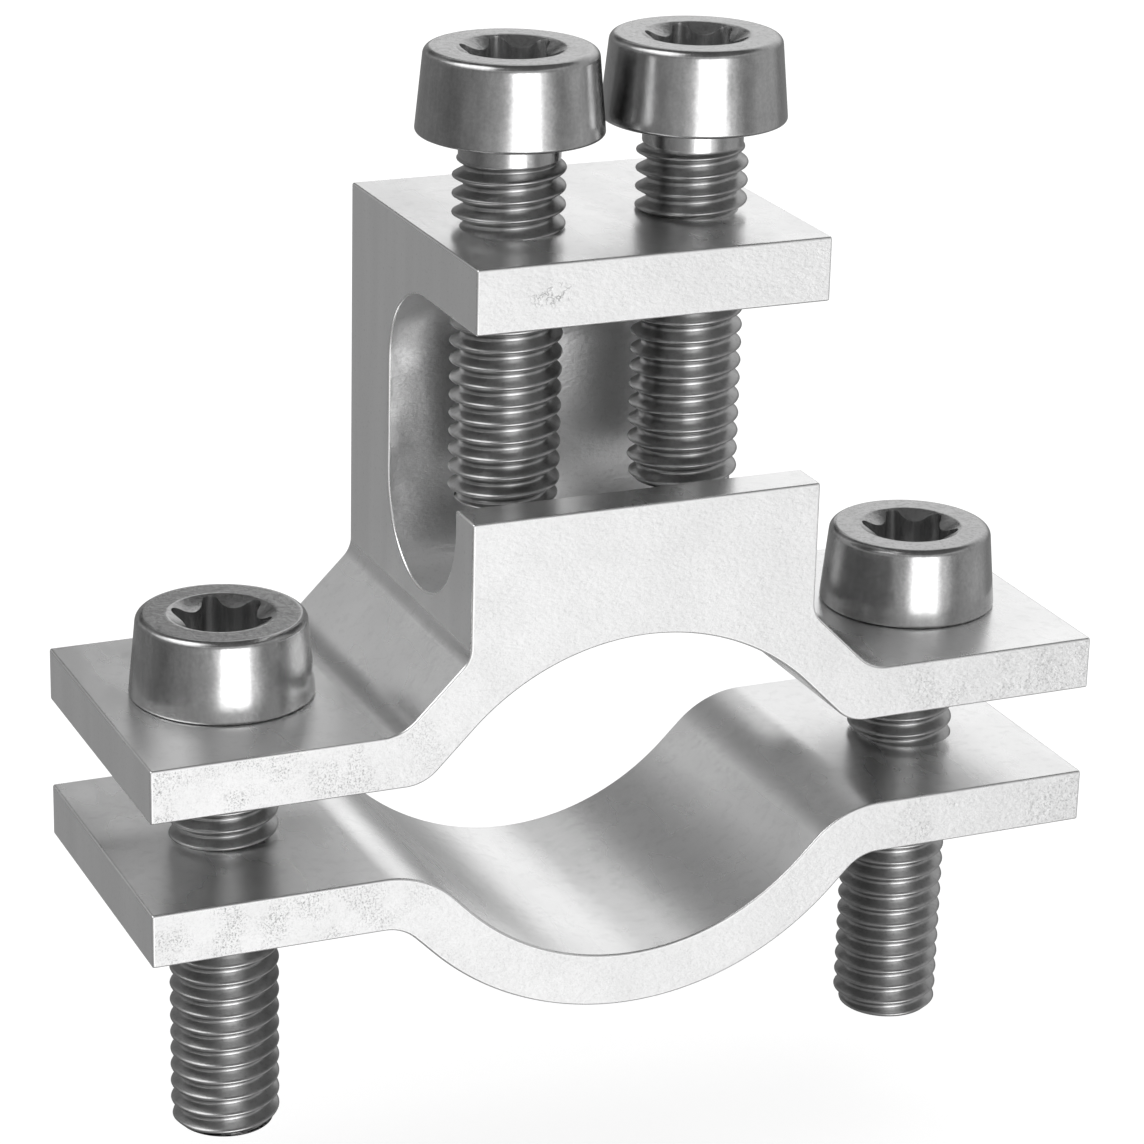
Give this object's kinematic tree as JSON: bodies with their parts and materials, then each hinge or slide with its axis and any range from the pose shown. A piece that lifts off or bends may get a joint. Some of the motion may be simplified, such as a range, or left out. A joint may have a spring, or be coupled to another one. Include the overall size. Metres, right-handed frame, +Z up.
{
  "type": "grounding clamp",
  "caption": "Split pipe clamp: saddle body and lower strap drawn together by flange screws, with a tower whose clamp screws press a conductor into an open-fronted pocket.",
  "frame": {"origin": "on the axis of the body's saddle arc, halfway along the pipe", "axes": "+X from the left flange to the right one, +Y along the pipe towards the closed back of the tower, +Z up towards the screw heads"},
  "size_m": [0.055, 0.0182, 0.0597],
  "materials": {
    "body": "satin, with sawn ends and extruded faces",
    "screw": "turned and rolled, half bright"
  },
  "bodies": {
    "clamp_body": {"clamp_body": "body"},
    "saddle_strap": {"saddle_strap": "body"},
    "flange_screw_left": {"flange_screw_left": "screw"},
    "flange_screw_right": {"flange_screw_right": "screw"},
    "clamp_screw_left": {"clamp_screw_left": "screw"},
    "clamp_screw_right": {"clamp_screw_right": "screw"}
  },
  "joints": [
    {"name": "flange_screw_left_turn", "type": "hinge", "parent": "clamp_body", "child": "flange_screw_left", "pos_m": [-0.0206, 0, 0.00995], "axis": [0, 0, 1], "range_deg": [-1800, 4860]},
    {"name": "flange_screw_right_turn", "type": "hinge", "parent": "clamp_body", "child": "flange_screw_right", "pos_m": [0.0206, 0, 0.00995], "axis": [0, 0, 1], "range_deg": [-1800, 4860]},
    {"name": "strap_travel", "type": "slide", "parent": "clamp_body", "child": "saddle_strap", "axis": [0, 0, 1], "range_m": [-0.0135, 0.005]},
    {"name": "clamp_screw_left_travel", "type": "slide", "parent": "clamp_body", "child": "clamp_screw_left", "axis": [0, 0, 1], "range_m": [-0.003, 0.011]},
    {"name": "clamp_screw_right_travel", "type": "slide", "parent": "clamp_body", "child": "clamp_screw_right", "axis": [0, 0, 1], "range_m": [-0.003, 0.011]}
  ],
  "couplings": [
    {"joint": "flange_screw_left_turn", "follows": "strap_travel", "rad_per_m": -6283.2},
    {"joint": "flange_screw_right_turn", "follows": "strap_travel", "rad_per_m": -6283.2}
  ]
}
